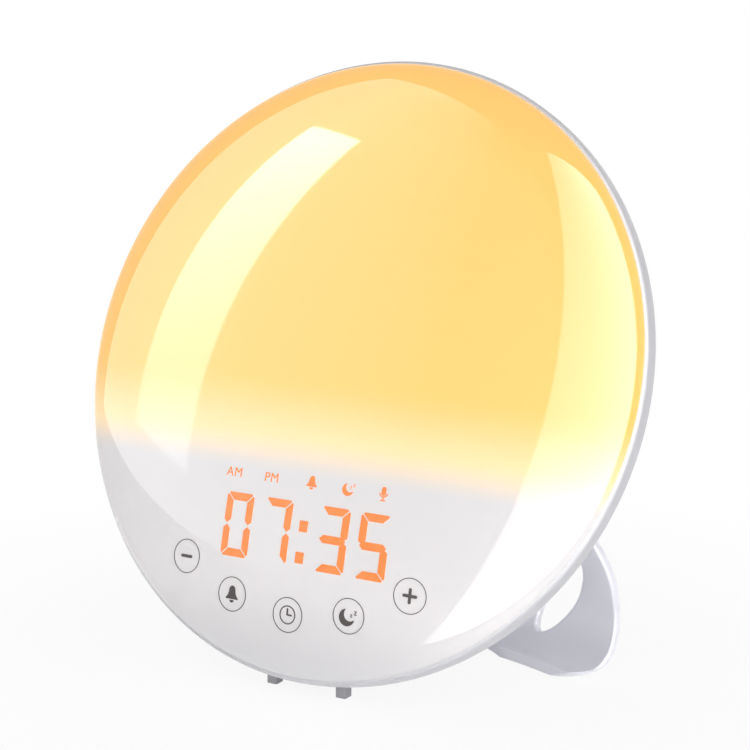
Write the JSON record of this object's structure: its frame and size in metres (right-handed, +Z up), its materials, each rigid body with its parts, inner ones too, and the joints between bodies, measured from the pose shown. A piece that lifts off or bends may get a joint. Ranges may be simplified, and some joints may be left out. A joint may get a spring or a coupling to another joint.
{
  "type": "sunrise alarm clock",
  "caption": "Round bedside alarm clock with a domed milky lamp face, orange digits and touch keys, leaning on a moulded rear stand with two looped ears.",
  "frame": {"origin": "centre of the bounding box at the height of the surface it stands on", "axes": "+Z up, the face looks towards -Y and leans back towards +Y, +X to the right of a person facing it"},
  "size_m": [0.175, 0.0826, 0.1686],
  "materials": {
    "milky_face": "milky translucent gloss, lit amber over the upper part",
    "white_case": "gloss moulded",
    "stand_white": "satin gloss moulded",
    "reflector_white": "matte moulded",
    "white_board": "white solder resist",
    "green_board": "green solder resist",
    "lamp_phosphor": "yellow phosphor",
    "spring_steel": "plated",
    "module_black": "black moulded",
    "orange_glow": "lit orange",
    "grey_print": "printed dark grey",
    "chip_black": "moulded epoxy",
    "screw_steel": "zinc plated",
    "ribbon_grey": "flat cable jacket",
    "speaker_steel": "black pressed steel",
    "speaker_paper": "black pressed paper",
    "magnet_iron": "sintered ferrite",
    "foam_gasket": "closed foam",
    "socket_black": "black moulded",
    "socket_shell": "nickel plated",
    "button_white": "satin moulded",
    "cell_steel": "stainless",
    "pad_rubber": "soft matte",
    "foot_grey": "soft matte"
  },
  "bodies": {
    "clock": {"front_diffuser": "milky_face", "rim_ring": "white_case", "rear_shell": "white_case", "reflector_tray": "reflector_white", "light_baffle": "reflector_white", "lamp_board": "white_board", "lamp_leds": "lamp_phosphor", "touch_board": "green_board", "touch_springs": "spring_steel", "display_module": "module_black", "display_digits": "orange_glow", "status_icons": "orange_glow", "key_prints": "grey_print", "main_board": "green_board", "control_chips": "chip_black", "board_screws": "screw_steel", "display_ribbon": "ribbon_grey", "speaker_frame": "speaker_steel", "speaker_cone": "speaker_paper", "speaker_magnet": "magnet_iron", "speaker_gasket": "foam_gasket", "dc_socket": "socket_black", "usb_socket": "socket_shell", "socket_board": "green_board", "button_switches": "chip_black", "button_board": "green_board", "backup_cell": "cell_steel", "cell_contact": "spring_steel", "case_screws": "screw_steel", "stand_screws": "screw_steel", "stand": "stand_white", "stand_pads": "pad_rubber", "front_feet": "foot_grey"},
    "light_button": {"light_button": "button_white"},
    "sound_button": {"sound_button": "button_white"},
    "dimmer_button": {"dimmer_button": "button_white"},
    "battery_cover": {"battery_cover": "button_white"}
  },
  "joints": [
    {"name": "light_press", "type": "slide", "parent": "clock", "child": "light_button", "axis": [0, -0.9949, -0.1011], "range_m": [0, 0.0005], "stiffness_N_per_m": 900, "springref_m": -0.001},
    {"name": "sound_press", "type": "slide", "parent": "clock", "child": "sound_button", "axis": [0, -0.9949, -0.1011], "range_m": [0, 0.0005], "stiffness_N_per_m": 900, "springref_m": -0.001},
    {"name": "dimmer_press", "type": "slide", "parent": "clock", "child": "dimmer_button", "axis": [0, -0.9949, -0.1011], "range_m": [0, 0.0005], "stiffness_N_per_m": 900, "springref_m": -0.001},
    {"name": "battery_cover_turn", "type": "hinge", "parent": "clock", "child": "battery_cover", "pos_m": [0.0506, 0.01833, 0.07704], "axis": [0.454, 0.8362, -0.3077], "range_deg": [0, 60]}
  ]
}
